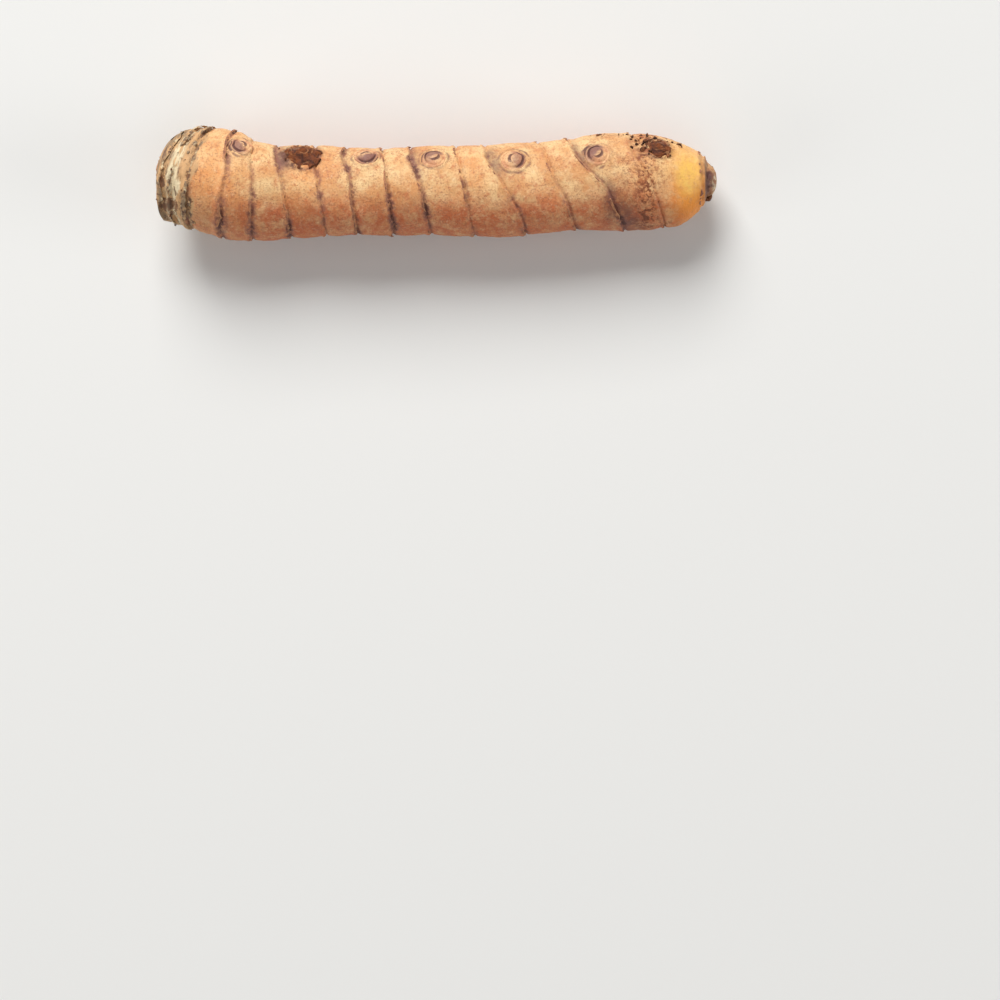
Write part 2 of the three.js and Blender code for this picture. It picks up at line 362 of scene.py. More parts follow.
# The purple-grey bloom past some rings: the ring, the angle and spread in degrees, length and strength.
# Two smudges of it lie between rings, as patches on top.
BLOOMS = [
    (13, 152, 38, 7, 1.15), (5, 42, 24, 2.8, 1.2), (7, 50, 22, 1.5, 0.8), (9, 48, 26, 2.4, 1.1),
    (11, 48, 24, 3.2, 1.3), (13, 55, 24, 2.4, 1), (4, 300, 60, 2, 0.6), (7, 205, 40, 1.6, 0.6),
    (9, 280, 50, 2, 0.6), (12, 320, 60, 2, 0.6), (2, 150, 40, 1.2, 0.7), (15, 92, 50, 3.2, 2),
]
SMUDGES, SMUDGE_STRENGTH = [(-24.7, 3.9, 1.3, 1.5), (28.3, -3.4, 1.2, 3.2)], 1.2
bloom = np.zeros_like(x)
for ring, side, spread, length, strength in BLOOMS:
    past = smooth(distance[ring], -0.3, 0.3) * smooth(distance[ring], length, 0.1 * length)
    bloom += strength * hump(np.degrees(turned(angle, np.radians(side))), 0, 1, spread) * past
for smudge in SMUDGES:
    bloom += SMUDGE_STRENGTH * patch(at, *smudge)

# The side of the finger that lay deeper in the soil is redder. It is also darker, as painted shade on the
# side away from the window light. Its colour ends between two angles from its middle, in degrees, on the
# way round the underside and on the way up the -Y side.
DEEPEST_AND_SHADED = np.radians(240)
EDGE_ROUND_UNDER, EDGE_UP_SIDE = (148, 78), (158, 112)
turn = np.degrees(turned(angle, DEEPEST_AND_SHADED))
away = np.abs(turn) + 9 * noise(at, 4, 19)
deep = np.where(turn > 0, smooth(away, *EDGE_ROUND_UNDER), smooth(away, *EDGE_UP_SIDE))
# Both the red and the painted shade fade towards the two ends, which the light reaches better.
between_ends = smooth(x, -44, -27) * smooth(x, 44, 38)

# Patches of colour on top: place along the finger and across it, the two reaches, and the strength.
COLOUR_PATCHES = {
    "warm": [(-36.3, 0.5, 4.6, 5.5, 1), (-21.3, 0.2, 2.8, 3.2, 1), (6.4, 1, 2.4, 4.5, 0.5)],
    "umber": [(-43.9, -3.9, 1.4, 1.5, 1), (-44.9, 0, 0.8, 1.5, 1), (-40.5, -1.8, 0.6, 2.8, 0.8),
              (44.2, 0.3, 0.7, 2.1, 1)],
    "olive": [(-43.3, 1.4, 0.9, 2, 1)],
    "cream": [(-42.8, -1.2, 1, 2, 1), (-42.3, 3.3, 0.8, 2, 0.7), (45.7, 0, 0.5, 2.5, 1)],
}
# The ruddy patch is rubbed orange skin on the -Y side of the tip, brightened as painted light.
OCHRE_PATCH, RUDDY_PAINTED_LIGHT_PATCH = (40.4, 3.6, 3.4, 3.4), (41.6, -2.7, 3.1, 4.2)
masks = {name: sum(strength * patch(at, *place) for *place, strength in patches)
         for name, patches in COLOUR_PATCHES.items()}
far, which = nearest_bud(at)
masks |= {
    "station": x,
    "stain": stain * (0.35 + patchy) * on_body,
    "bloom": np.clip(bloom, 0, 1.2),
    "deep_side": deep * (0.25 + 0.75 * between_ends),
    "bud": far * (1 + 0.1 * noise(at, 1.4, 17)),
    "old_bud": BUD_AGE[which],
    "cork": cork,
    "face": face * (0.6 + 0.4 * bundles),
    "scraped": scraped,
    "ochre": patch(at, *OCHRE_PATCH) * on_body,
    "ruddy_and_painted_light": patch(at, *RUDDY_PAINTED_LIGHT_PATCH) * on_body,
    "pit": pits,
    "pitted": pitted,
}
paint_points(skin, **{name: np.append(values.ravel(), [values[0].mean(), values[-1].mean()])
                      for name, values in masks.items()})


def put(tree, kind, inputs=None, **settings):
    """Adds a shader node, sets its settings, and links or sets its inputs."""
    new = tree.nodes.new("ShaderNode" + kind)
    for name, value in settings.items():
        setattr(new, name, value)
    for key, value in (inputs or {}).items():
        if isinstance(value, bpy.types.NodeSocket):
            tree.links.new(value, new.inputs[key])
        else:
            new.inputs[key].default_value = value
    return new


def shade(red, green, blue):
    """A colour as the eye sees it, 0 to 255, turned into the linear one that shaders use."""
    part = np.array([red, green, blue]) / 255
    return (*np.where(part < 0.04045, part / 12.92, ((part + 0.055) / 1.055) ** 2.4), 1)


def blend_colours(tree, factor, first, second):
    """The first colour where factor is 0 and the second where it is 1."""
    return put(tree, "Mix", {0: factor, 6: first, 7: second}, data_type="RGBA").outputs[2]


def between(tree, value, low, high, to_low=0.0, to_high=1.0):
    """The value's smooth rise from low to high, as to_low to to_high."""
    return put(tree, "MapRange", {0: value, 1: low, 2: high, 3: to_low, 4: to_high},
               interpolation_type="SMOOTHSTEP").outputs[0]


def sums(tree, operation, *values):
    """One Math node."""
    return put(tree, "Math", dict(enumerate(values)), operation=operation).outputs[0]


def times(tree, product, *values):
    """The product of all the values."""
    for value in values:
        product = sums(tree, "MULTIPLY", product, value)
    return product


def off_from(tree, value, middle):
    """How far a value is from a middle one, either way."""
    return sums(tree, "ABSOLUTE", sums(tree, "SUBTRACT", value, middle))


def mask(tree, name):
    """A number that the mesh stores for each point."""
    return put(tree, "Attribute", attribute_name=name).outputs["Fac"]


def millimetres(tree):
    """The piece's own coordinates, in millimetres."""
    own = put(tree, "TexCoord").outputs["Object"]
    return put(tree, "VectorMath", {0: own, 3: 1 / MM}, operation="SCALE").outputs[0]


def lumps(tree, where, size, detail, rough=0.55):
    """Noise with lumps of the given size in millimetres, 0 to 1."""
    return put(tree, "TexNoise", {"Vector": where, "Scale": 1 / size, "Detail": detail,
                                  "Roughness": rough}).outputs["Fac"]


def along_rings(tree, where, stretch):
    """Coordinates in which noise runs in streaks along the rings: the place along the finger, and the
    other two divided by stretch."""
    part = put(tree, "SeparateXYZ", {0: where}).outputs
    return put(tree, "CombineXYZ", {0: mask(tree, "station"), 1: sums(tree, "DIVIDE", part[1], stretch),
                                    2: sums(tree, "DIVIDE", part[2], stretch)}).outputs[0]


# Cork grain, which every skin and scale of the root has: fine flecks, darker and lighter than the
# skin, and the height of the grain itself.
grain = bpy.data.node_groups.new("cork_grain", "ShaderNodeTree")
grain.interface.new_socket("Size", in_out="INPUT", socket_type="NodeSocketFloat").default_value = 1.0
for output in ("Dark flecks", "Light flecks", "Height"):
    grain.interface.new_socket(output, in_out="OUTPUT", socket_type="NodeSocketFloat")
grain_in = grain.nodes.new("NodeGroupInput").outputs
grain_out = grain.nodes.new("NodeGroupOutput").inputs
where = put(grain, "VectorMath", {0: millimetres(grain), 1: grain_in["Size"]}, operation="DIVIDE").outputs[0]
fine_grain = lumps(grain, where, 0.32, 3)
coarse_grain = lumps(grain, where, 0.9, 3)
dot = put(grain, "TexVoronoi", {"Vector": where, "Scale": 1 / 0.42}).outputs["Distance"]
dots = times(grain, between(grain, dot, 0.36, 0.12), between(grain, coarse_grain, 0.46, 0.6))
streaks = between(grain, fine_grain, 0.5, 0.68)
crowding = between(grain, lumps(grain, where, 3.2, 2), 0.3, 0.62, 0.35, 1)
dark_flecks = times(grain, sums(grain, "MAXIMUM", dots, streaks), crowding)
light_flecks = between(grain, lumps(grain, where, 0.6, 4, 0.7), 0.5, 0.8)
grain.links.new(dark_flecks, grain_out["Dark flecks"])
grain.links.new(light_flecks, grain_out["Light flecks"])
grain.links.new(sums(grain, "MULTIPLY_ADD", coarse_grain, 0.6, fine_grain), grain_out["Height"])


def add_grain(tree, size=1.0):
    """Places the cork grain in a material."""
    placed = tree.nodes.new("ShaderNodeGroup")
    placed.node_tree = grain
    placed.inputs["Size"].default_value = size
    return placed.outputs


def new_material(name, roughness):
    """A material with its shader, ready for colour and bump."""
    material = bpy.data.materials.new(name)
    material.use_nodes = True
    shader = material.node_tree.nodes["Principled BSDF"]
    shader.inputs["Roughness"].default_value = roughness
    return material, material.node_tree, shader


def add_bump(tree, shader, height, distance, strength):
    """Feeds a height, in steps of `distance` millimetres, to the shader's normal."""
    bump = put(tree, "Bump", {"Height": height, "Distance": distance * MM, "Strength": strength})
    tree.links.new(bump.outputs["Normal"], shader.inputs["Normal"])


skin_material, tree, shader = new_material("turmeric_skin", 0.6)
where = millimetres(tree)
ringwise = along_rings(tree, where, 5)
flecks = add_grain(tree)

# Living skin: peach with orange and red-brown mottles. It is redder on the side that lay deeper, with painted
# shade darkening that side, away from the light.
colour = blend_colours(tree, between(tree, lumps(tree, where, 5, 4, 0.6), 0.36, 0.64),
                       shade(242, 203, 146), shade(223, 160, 101))
mottles = between(tree, lumps(tree, where, 1.4, 4, 0.72), 0.5, 0.7, 0, 0.75)
colour = blend_colours(tree, mottles, colour, shade(203, 122, 74))
warm = times(tree, mask(tree, "warm"), between(tree, lumps(tree, where, 1.8, 4, 0.65), 0.3, 0.6, 0.35, 0.75))
colour = blend_colours(tree, warm, colour, shade(238, 158, 88))
# Redder and darker on the deep side: its own colour, and painted shade away from the light.
red_and_shade = times(tree, mask(tree, "deep_side"),
                 between(tree, lumps(tree, where, 2.2, 4, 0.7), 0.34, 0.62, 0.42, 0.95))
colour = blend_colours(tree, red_and_shade, colour, shade(200, 100, 54))
colour = blend_colours(tree, times(tree, flecks["Light flecks"], 0.5), colour, shade(252, 220, 174))
colour = blend_colours(tree, times(tree, flecks["Dark flecks"], 0.6), colour, shade(158, 90, 60))
creases = between(tree, lumps(tree, ringwise, 0.35, 3), 0.54, 0.7, 0, 0.3)
colour = blend_colours(tree, creases, colour, shade(168, 104, 76))

# The purple-grey bloom past some rings, and the stain of each ring, broken and frayed.
dusky = times(tree, mask(tree, "bloom"), between(tree, lumps(tree, where, 1.5, 4, 0.65), 0.3, 0.6, 0.35, 1))
colour = blend_colours(tree, times(tree, dusky, 0.8), colour, shade(118, 76, 64))
frayed = times(tree, mask(tree, "stain"),
               between(tree, lumps(tree, where, 0.8, 4, 0.7), 0.3, 0.62, 0.25, 1.35))
colour = blend_colours(tree, between(tree, frayed, 0.06, 0.75, 0, 0.8), colour, shade(146, 92, 76))
colour = blend_colours(tree, between(tree, frayed, 0.55, 1.15, 0, 0.85), colour, shade(92, 52, 44))

# The crease round each bud, clear in some places and faint in others, and the rags round a dried one.
bud_edge = off_from(tree, mask(tree, "bud"), BUD_CREASE)
bud_line = between(tree, sums(tree, "MULTIPLY_ADD", lumps(tree, where, 0.7, 3), 0.2, bud_edge), 0.26, 0.1)
bud_line = times(tree, bud_line, between(tree, lumps(tree, where, 2.2, 1), 0.4, 0.6, 0.1, 0.75))
colour = blend_colours(tree, bud_line, colour, shade(122, 76, 66))
rags_round_bud = times(tree, between(tree, mask(tree, "bud"), 1.5, 0.9), mask(tree, "old_bud"),
                       between(tree, lumps(tree, where, 0.9, 4, 0.7), 0.42, 0.58, 0, 1.3))
colour = blend_colours(tree, rags_round_bud, colour, shade(104, 60, 38))

# Weathered cork: torn layers that run along the rings, olive-grey, tan and cream, with brown cracks.
CREAM_X = -40.6
layer = lumps(tree, ringwise, 0.7, 4, 0.65)
olive_end = between(tree, mask(tree, "station"), -39.4, -41, 0.15, 0.8)
olive = sums(tree, "MAXIMUM", times(tree, between(tree, layer, 0.42, 0.58), olive_end),
             times(tree, mask(tree, "olive"), between(tree, layer, 0.36, 0.5)))
bark = blend_colours(tree, olive, shade(216, 168, 116), shade(148, 124, 94))
wander = sums(tree, "SUBTRACT", lumps(tree, ringwise, 2.5, 3), 0.5)
wander = sums(tree, "MULTIPLY_ADD", wander, 3, mask(tree, "station"))
cream_band = between(tree, off_from(tree, wander, CREAM_X), 1.0, 0.4)
cream = sums(tree, "MAXIMUM", times(tree, cream_band, between(tree, layer, 0.44, 0.56)),
             between(tree, lumps(tree, ringwise, 1.1, 3), 0.58, 0.68, 0, 0.7))
pale = sums(tree, "MULTIPLY_ADD", mask(tree, "cream"), 0.35, lumps(tree, ringwise, 0.9, 4, 0.65))
cream = sums(tree, "MAXIMUM", cream, between(tree, pale, 0.66, 0.8))
bark = blend_colours(tree, cream, bark, shade(238, 218, 178))
cracks = between(tree, lumps(tree, along_rings(tree, where, 7), 0.5, 5, 0.72), 0.51, 0.62, 0, 0.85)
bark = blend_colours(tree, cracks, bark, shade(104, 68, 50))
cap = times(tree, between(tree, mask(tree, "station"), 40, 44),
            between(tree, lumps(tree, where, 1.2, 4, 0.65), 0.42, 0.6))
bark = blend_colours(tree, cap, bark, shade(182, 122, 76))
blotch = sums(tree, "MULTIPLY_ADD", mask(tree, "umber"), 0.35, lumps(tree, where, 1.6, 4, 0.7))
umber = blend_colours(tree, between(tree, layer, 0.4, 0.6), shade(84, 52, 36), shade(150, 92, 52))
bark = blend_colours(tree, between(tree, blotch, 0.64, 0.74, 0, 0.85), bark, umber)
fibres = between(tree, mask(tree, "face"), 0.6, 1)
flesh = blend_colours(tree, fibres, shade(176, 112, 58), shade(226, 160, 84))
bark = blend_colours(tree, between(tree, mask(tree, "face"), 0.2, 0.6, 0, 0.75), bark, flesh)
bark = blend_colours(tree, times(tree, dusky, 0.9), bark, shade(104, 66, 60))
torn = sums(tree, "MULTIPLY_ADD", lumps(tree, ringwise, 1.2, 4, 0.65), 0.9, mask(tree, "cork"))
colour = blend_colours(tree, between(tree, torn, 0.75, 1.1), colour, bark)

# Pits where rootlets came off, and the tip, where the skin is rubbed down to orange and yellow. The
# orange on the -Y side of the tip is brightened beyond its own colour, as painted light.
scars = times(tree, mask(tree, "pitted"), between(tree, lumps(tree, where, 1.5, 3), 0.56, 0.63, 0, 0.8))
colour = blend_colours(tree, scars, colour, shade(172, 96, 52))
specks = times(tree, mask(tree, "pitted"), between(tree, lumps(tree, where, 0.7, 4, 0.7), 0.5, 0.59))
specks = times(tree, sums(tree, "MAXIMUM", mask(tree, "pit"), specks), 0.95)
colour = blend_colours(tree, specks, colour, shade(126, 66, 36))
rubbed = between(tree, lumps(tree, where, 1.1, 4, 0.65), 0.3, 0.62, 0.35, 1)
colour = blend_colours(tree, times(tree, mask(tree, "ochre"), 0.7, rubbed), colour, shade(248, 190, 108))
# Rubbed orange on the -Y side of the tip, brightened as painted light where the tip turns from the lamps.
ruddy_and_painted_light = times(tree, mask(tree, "ruddy_and_painted_light"), between(tree, rubbed, 0.35, 0.8, 0.55, 1))
colour = blend_colours(tree, ruddy_and_painted_light, colour, shade(255, 156, 44))
bared = times(tree, between(tree, mask(tree, "scraped"), 0.1, 0.85), rubbed)
colour = blend_colours(tree, bared, colour, shade(252, 198, 98))
tree.links.new(colour, shader.inputs["Base Color"])
tree.links.new(between(tree, bared, 0, 1, 0.62, 0.42), shader.inputs["Roughness"])
height = sums(tree, "SUBTRACT", flecks["Height"], times(tree, frayed, 0.35))
height = sums(tree, "ADD", height, times(tree, lumps(tree, ringwise, 0.35, 3), 0.5))
add_bump(tree, shader, height, 0.16, 0.8)
skin.data.materials.append(skin_material)
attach(skin, "root")
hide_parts("rhizome")

# The buds
# Nested scales, thin and fleshy, pressed round a blunt nub. Each is a shallow dome in the hollow of its
# cushion, with its foot under the skin. Two of them, the third and the last, have dried to brown rags.
BUD_ROWS, BUD_COLUMNS = 44, 72
BUD_REACH = 1.2  # how far out the rows run, in bud radii
BUD_FOOT = (0.5, 1.0, 1.25)  # how deep the foot goes, and between which distances
BUD_FLOOR = 0.4  # how far the pole underneath lies below the last row
SCALE_RISES = [(0.11, 1.1, 0.86), (0.08, 0.68, 0.4), (0.1, 0.45, -0.1)]  # height, start and end of each
SCALE_CREASES = [(0.7, 0.06, 0.05), (0.38, 0.02, 0.04)]  # place, depth and reach of each

# How purple each bud is, and the side on which it is, anticlockwise from +X as seen from outside.
BUD_FLUSH = np.array([0.8, 0.4, 0, 0.3, 0.95, 0.4, 0.85, 0.3, 0.5, 0.4, 0.95, 0])
BUD_DARK_SIDE = np.radians([225, 40, 300, 200, 290, 300, 125, 120, 350, 60, 140, 215])


def bud_height(far, age):
    """Steps of the nested scales over the distance from the middle: a low outer scale, a crease, an
    inner scale, another crease and the nub, on a shallow parabola. A dried bud stands taller and has
    one scale more."""
    height = sum(rise(far, *scale) for scale in SCALE_RISES) + 0.05 * (1 - far**2)
    for crease in SCALE_CREASES:
        height = height - hump(far, *crease)
    extra = 0.1 * smooth(far, 0.84, 0.7) - hump(far, 0.88, 0.08, 0.04) - hump(far, 0.2, 0.05, 0.03)
    return height + age * extra - rise(far, *BUD_FOOT)


def bud_points(bud):
    """A disc of rows out from the middle, bent over the finger's girth and raised by bud_height, with
    its two poles. The scales' edges wander and the nub is oval. A sine wave pushes the nub to the dark
    side and the inner scale away from it, as each scale wraps the next from the other side. It gives
    the points, the place of each among the scales' edges, and how near it is to the dark side."""
    far, turn = np.meshgrid(np.linspace(0.03, BUD_REACH, BUD_ROWS),
                            np.linspace(0, 2 * np.pi, BUD_COLUMNS, endpoint=False), indexing="ij")
    spot = np.stack([far * np.cos(turn), far * np.sin(turn), np.full_like(far, bud * 3.7)], axis=-1)
    ragged = 0.09 + 0.25 * BUD_AGE[bud]
    crescent = np.cos(turn - BUD_DARK_SIDE[bud]) * smooth(far, 0, 0.25)
    oval = 1 + 0.06 * np.cos(2 * (turn - BUD_DARK_SIDE[bud])) * smooth(far, 0.8, 0.3)
    wrapped = 0.07 * crescent * np.sin(2 * np.pi * (far - 0.1) / 0.9)
    edge = far * (oval + ragged * noise(spot, 0.4, bud)) - wrapped
    height = BUD_RADIUS[bud] * bud_height(edge, BUD_AGE[bud]) + 0.05 * noise(spot, 0.16, bud + 3)
    crumple = 0.16 * noise(spot, 0.34, bud + 9) + 0.16 * np.abs(noise(spot, 0.2, bud + 5))
    height = height + BUD_AGE[bud] * crumple * smooth(far, 1.15, 0.8)

    radius = girth(BUD_X[bud])
    step = settle(BUD_X[bud] + np.array([-0.5, 0.5]), radius, BUD_ANGLE[bud])
    swing = settle(BUD_X[bud], radius, BUD_ANGLE[bud] + np.array([-0.05, 0.05]))
    along = step[1] - step[0]
    out = np.cross(swing[1] - swing[0], along)
    out = out / np.linalg.norm(out)
    along = along / np.linalg.norm(along)
    a, b = BUD_RADIUS[bud] * far * np.cos(turn), BUD_RADIUS[bud] * far * np.sin(turn)
    drop = b**2 / (2 * radius)
    points = (BUD_PLACE[bud] + a[..., None] * along + b[..., None] * np.cross(out, along)
              + (height - drop)[..., None] * out)
    poles = [points[0].mean(axis=0), points[-1].mean(axis=0) - BUD_FLOOR * out]
    return (np.concatenate([points.reshape(-1, 3), poles]), np.append(edge.ravel(), [0, 1.3]),
            np.append(crescent.ravel(), [0, 0]))


domes, edges, crescents = (np.stack(parts) for parts in zip(*map(bud_points, range(len(BUD_X)))))
buds = smoothed_mesh("buds", domes.reshape(-1, 3), closed_faces(BUD_ROWS, BUD_COLUMNS, len(BUD_X)),
                     turned_over=True)
# Buds on the underside and the -Y side take the skin's redder colour and its painted shade.
bud_deep_and_shade = smooth(np.cos(BUD_ANGLE - DEEPEST_AND_SHADED), -0.9, -0.4)
ages, flushes, deep_and_shaded_buds = (np.repeat(values, edges.shape[1]) for values in (BUD_AGE, BUD_FLUSH, bud_deep_and_shade))
paint_points(buds, edge=edges, crescent=crescents, age=ages, flush=flushes, deep_side=deep_and_shaded_buds)

# Plump scales: peach, flushed purple on the dark side. They are redder and darker on the underside and the -Y
# side, partly as painted shade. Dried ones are brown, with pale rims painted on as highlights.
bud_material, tree, shader = new_material("bud_scales", 0.5)
where = millimetres(tree)
flecks = add_grain(tree, 0.7)
edge, age, flush, crescent = (mask(tree, name) for name in ("edge", "age", "flush", "crescent"))
patches = lumps(tree, where, 1.3, 3)
colour = blend_colours(tree, between(tree, patches, 0.38, 0.62), shade(238, 188, 136), shade(212, 150, 108))
colour = blend_colours(tree, between(tree, edge, 0.42, 0.2, 0, 0.6), colour, shade(232, 186, 142))
# Redder and darker on the buds of the deep side: their own colour, and painted shade.
red_and_shade = times(tree, mask(tree, "deep_side"),
                 between(tree, lumps(tree, where, 2.6, 4, 0.65), 0.3, 0.6, 0.4, 0.8))
colour = blend_colours(tree, red_and_shade, colour, shade(190, 104, 66))
shaded_side = sums(tree, "SUBTRACT", crescent, 0.8)
shaded_side = sums(tree, "MULTIPLY_ADD", lumps(tree, where, 1.2, 3), 1.6, shaded_side)
purple = times(tree, between(tree, shaded_side, -0.6, 0.5), between(tree, edge, 1.1, 0.6), flush)
colour = blend_colours(tree, purple, colour, shade(140, 96, 86))
colour = blend_colours(tree, times(tree, flecks["Dark flecks"], 0.55), colour, shade(146, 88, 70))
brown = blend_colours(tree, between(tree, lumps(tree, where, 0.9, 4, 0.7), 0.4, 0.62),
                      shade(130, 70, 34), shade(72, 38, 24))
# Pale rims along the dried scales' edges, just outside each crease: painted highlights.
for rim, reach in [(0.58, 0.07), (0.3, 0.05), (0.92, 0.09)]:
    pale = times(tree, between(tree, off_from(tree, edge, rim), reach, 0),
                 between(tree, patches, 0.46, 0.62, 0, 0.7))
    brown = blend_colours(tree, pale, brown, shade(184, 128, 84))
dried = sums(tree, "MULTIPLY_ADD", lumps(tree, where, 0.7, 4, 0.7), 0.9, age)
dried = between(tree, sums(tree, "MULTIPLY_ADD", crescent, 0.2, dried), 1.12, 1.32)
colour = blend_colours(tree, dried, colour, brown)

# A dark line in each crease between scales, clear on the side that the crease is turned to.
for crease, reach, side in [(0.7, 0.1, 1), (0.38, 0.08, -1), (1.04, 0.13, 1)]:
    widened = between(tree, times(tree, crescent, side), 0, 1, 0, 0.07)
    off = sums(tree, "SUBTRACT", off_from(tree, edge, crease), widened)
    seen = between(tree, sums(tree, "MULTIPLY_ADD", crescent, 0.45 * side, patches), 0.35, 0.8, 0.05, 0.9)
    line = times(tree, between(tree, off, reach, 0.01), seen, between(tree, dried, 0, 1, 1, 0.3))
    colour = blend_colours(tree, line, colour, shade(94, 56, 50))
tree.links.new(colour, shader.inputs["Base Color"])
tree.links.new(between(tree, age, 0.3, 0.9, 0.46, 0.85), shader.inputs["Roughness"])
shader.inputs["Specular IOR Level"].default_value = 0.35
add_bump(tree, shader, flecks["Height"], 0.1, 0.8)
buds.data.materials.append(bud_material)
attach(buds, "root")

# The rags of the scale leaves
# Papery brown rags still lie along the rings and point to the tip, and the corky base has torn layers
# between its rings too. Each is one thin closed strip, sunk into the skin where it has torn off.
LAYER_X = np.array([-43.7, -43.1, -41.5, -39.9, -39.4, -38.2])  # the torn layers of the base
STRIP_COLUMNS = 300
STRIP_STEPS = np.array([0, 0.35, 0.7, 1, 1, 0.7, 0.35, 0])
STRIP_SIDE = np.array([1, 1, 1, 1, -1, -1, -1, -1])
STRIP_BEHIND = 0.3  # how far behind its ring's line a strip starts
STRIP_REACH, OLD_STRIP_REACH = 0.42, 0.5  # how far one stands out, and how much farther on the base
STRIP_SINK = 0.45  # how deep one lies in the skin where it has torn off
LOWEST = 0.02  # rags and crumbs stay this far above the table


def strip_points(start, old, seed):
    """A loop of eight points across the strip, out on one face and back on the other, at each angle.
    Its reach is clipped noise, so that it comes and goes, and it rises as it leaves its start."""
    angle = np.linspace(0, 2 * np.pi, STRIP_COLUMNS, endpoint=False)[:, None]
    step, side = STRIP_STEPS[None, :], STRIP_SIDE[None, :]
    torn = round_noise(0.0, angle, 1, 2.4, seed + 50) + 0.4 * round_noise(0.0, angle, 1, 0.6, seed + 70)
    reach = np.clip(torn - 0.05 + 0.2 * old, 0, 1) * (STRIP_REACH + OLD_STRIP_REACH * old)
    reach = reach * (1 + 0.3 * round_noise(0.0, angle, 1, 0.25, seed + 90))
    there = smooth(reach, 0.0, 0.15)
    first_x = start(angle) - STRIP_BEHIND
    x = first_x + step * (reach + 0.1)
    slope = girth(x) - girth(x[:, :1]) + 0.16 * step * reach
    thick = 0.045 * (1.2 - step)
    lift = slope + 0.02 - STRIP_SINK * (1 - there) + side * thick
    curl = 0.1 * reach * step**2 * round_noise(0.0, angle, 1, 0.7, seed + 110)
    return settle(x, skin_radius(first_x, angle) + lift + curl, angle + 0 * step)


def layer_line(angle, place, seed):
    """A line round the base between its rings, with a slow and a quick wander."""
    slow = 0.35 * round_noise(0.0, angle, 1, 3.0, seed)
    return place + slow + 0.15 * round_noise(0.0, angle, 1, 0.8, seed + 5)


lines = [(lambda angle, ring=ring: ring_line(ring, angle)) for ring in range(len(RING_X))]
lines += [(lambda angle, place=place, seed=number + 130: layer_line(angle, place, seed))
          for number, place in enumerate(LAYER_X)]
olds = smooth(np.append(RING_X, LAYER_X), -36, -38.5)
strips = np.stack([strip_points(line, old, seed) for seed, (line, old) in enumerate(zip(lines, olds))])
strips[..., 2] = np.maximum(strips[..., 2], LOWEST)
loop = len(STRIP_STEPS)
strip_faces = [grid_faces(STRIP_COLUMNS, loop, strip * STRIP_COLUMNS * loop, loop_rows=True)
               for strip in range(len(strips))]
rags = smoothed_mesh("scale_rags", strips.reshape(-1, 3), strip_faces, turned_over=True)
shape = strips.shape[:-1]
paint_points(rags, out=np.broadcast_to(STRIP_STEPS, shape), old=np.broadcast_to(olds[:, None, None], shape))

# Brown and papery, paler at the free edge. The old rags of the base are tan, olive-grey and cream.
rag_material, tree, shader = new_material("papery_scale", 0.75)
where = millimetres(tree)
flecks = add_grain(tree, 0.6)
colour = blend_colours(tree, between(tree, lumps(tree, where, 0.8, 3), 0.38, 0.64),
                       shade(190, 128, 88), shade(132, 82, 62))
colour = blend_colours(tree, between(tree, mask(tree, "out"), 0.5, 1.0, 0, 0.5), colour, shade(212, 156, 108))
weathered = blend_colours(tree, between(tree, lumps(tree, where, 1.2, 3), 0.4, 0.6),
                          shade(206, 162, 114), shade(146, 122, 94))
bleached = between(tree, lumps(tree, where, 1.6, 3), 0.54, 0.64, 0, 0.8)
weathered = blend_colours(tree, bleached, weathered, shade(230, 208, 166))
spotted = between(tree, lumps(tree, where, 0.7, 4, 0.7), 0.52, 0.64)
weathered = blend_colours(tree, spotted, weathered, shade(96, 64, 48))
colour = blend_colours(tree, mask(tree, "old"), colour, weathered)
colour = blend_colours(tree, times(tree, flecks["Dark flecks"], 0.5), colour, shade(86, 54, 44))
tree.links.new(colour, shader.inputs["Base Color"])
add_bump(tree, shader, flecks["Height"], 0.06, 0.7)
rags.data.materials.append(rag_material)
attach(rags, "root")

# The crumbs of soil
# Dry brown soil still sticks by the cap of the tip, in clumps round the last bud, in the torn layers of
# the base and in specks along the rings. Each crumb is a lumpy closed ball, pressed into the skin.
CRUMB_ROWS, CRUMB_COLUMNS = 10, 16
CAP_CRUMBS = [(44.7, 172, 0.5), (44.4, 165, 0.42), (45.0, 164, 0.34)]  # x, degrees round and radius
CLUMPS = [  # how many, x and its spread, degrees round and their spread, smallest and largest radius
    (44, 37.2, 1.3, 40, 9, 0.1, 0.34),
    (11, 34.6, 1.0, 24, 6, 0.08, 0.28),
    (8, 31.0, 0.7, 19, 4, 0.08, 0.28),
    (8, 40.0, 0.8, 24, 6, 0.08, 0.26),
    (14, -43.3, 0.5, 175, 16, 0.1, 0.3),
    (16, -41.0, 1.6, 120, 70, 0.07, 0.2),
]
RING_CRUMBS = 50
draw = np.random.default_rng(7)


def clump(count, x, x_spread, degrees, degree_spread, smallest, largest):
    """Places of a clump of crumbs: x and angle drawn round its middle, and radius between two sizes."""
    return np.stack([draw.normal(x, x_spread, count), draw.normal(degrees, degree_spread, count),
                     draw.uniform(smallest, largest, count)], axis=-1)


def ring_crumbs(count):
    """Places of small crumbs in the creases of the body's rings, anywhere round it."""
    return np.stack([draw.choice(RING_X[4:15], count) + draw.normal(0.2, 0.2, count),
                     draw.uniform(0, 360, count), draw.uniform(0.06, 0.14, count)], axis=-1)


